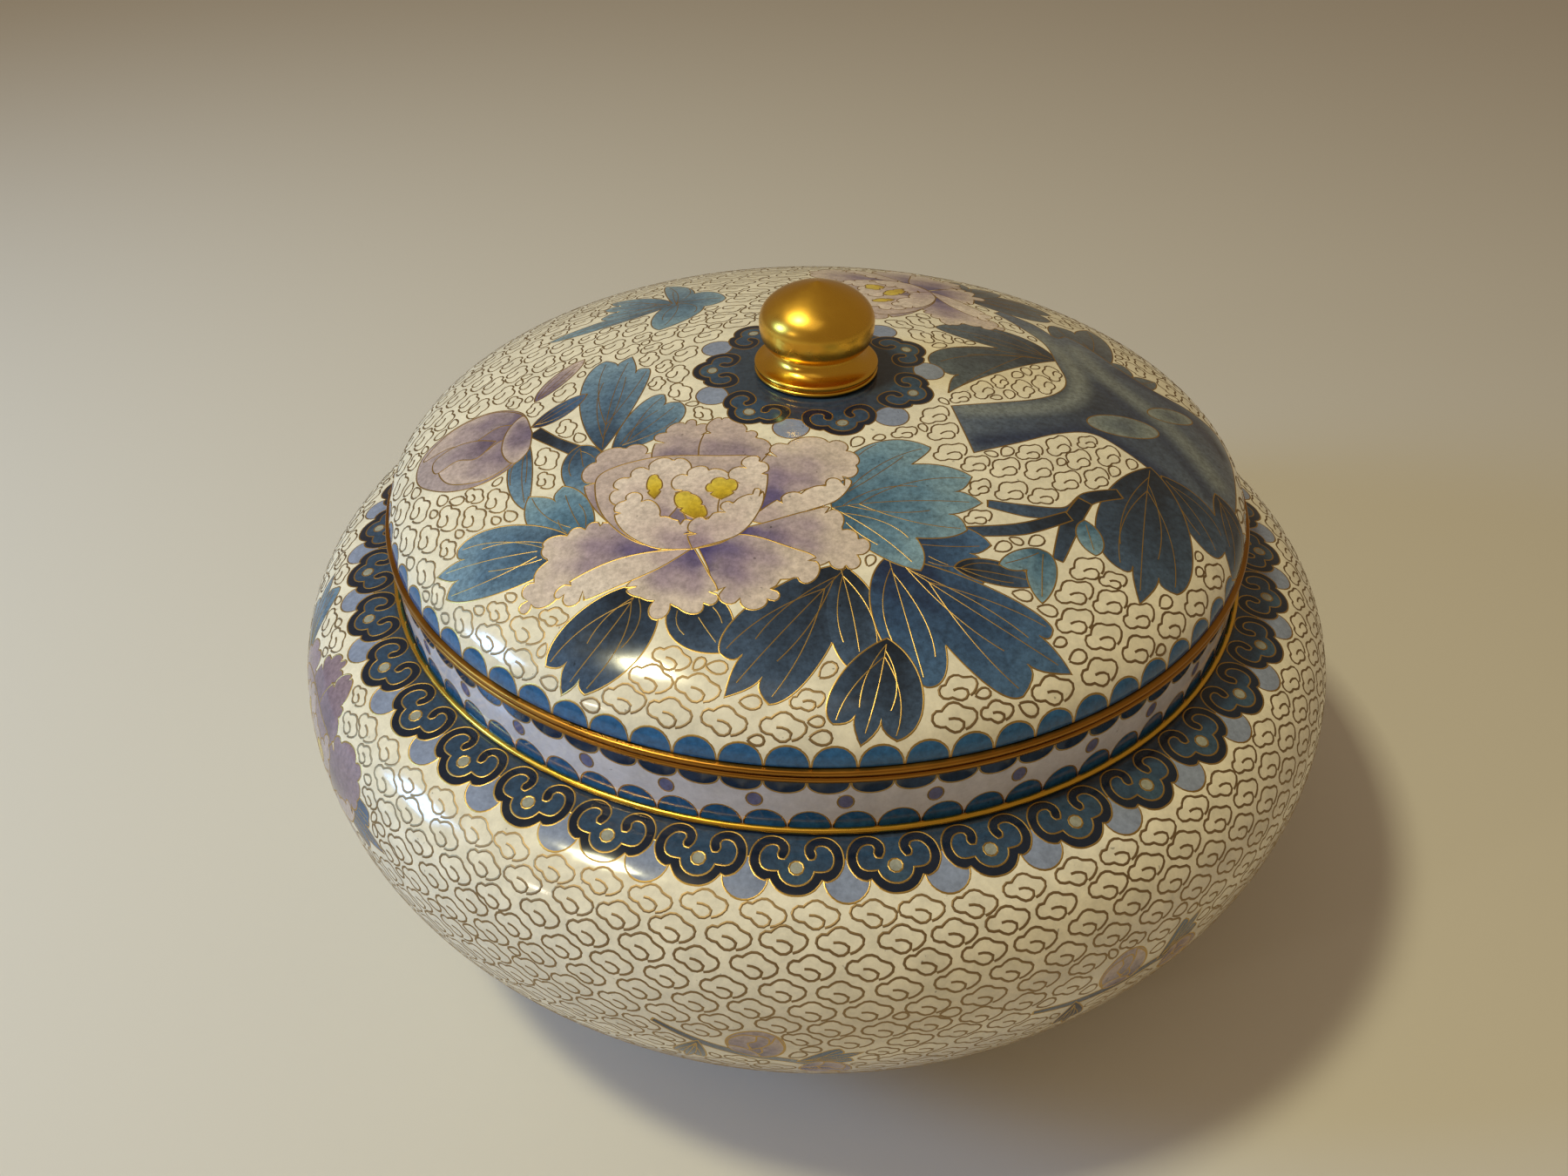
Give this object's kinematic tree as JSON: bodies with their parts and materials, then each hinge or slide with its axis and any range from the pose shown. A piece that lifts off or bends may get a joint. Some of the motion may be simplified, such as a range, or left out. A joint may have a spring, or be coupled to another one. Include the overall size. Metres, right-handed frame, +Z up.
{
  "type": "enamel jar",
  "caption": "Squat round cloisonne jar with a domed lift-off lid, brass knob, rims and foot; hollow, for holding small things on a table.",
  "frame": {"origin": "on the table, under the centre of the foot ring", "axes": "+Z up along the axis that every piece is turned round; +X to the right and -Y towards the viewer of the lid's peony"},
  "size_m": [0.24, 0.24, 0.1476],
  "materials": {
    "body_enamel": "glossy vitreous enamel with flush gilt wires on copper",
    "lid_enamel": "glossy vitreous enamel with flush gilt wires on copper",
    "brass": "polished and gilt"
  },
  "bodies": {
    "root": {"jar_body": "body_enamel", "lid": "lid_enamel", "neck_ring": "brass", "body_rim": "brass", "lid_rim": "brass", "foot_ring": "brass", "knob": "brass"}
  },
  "joints": []
}
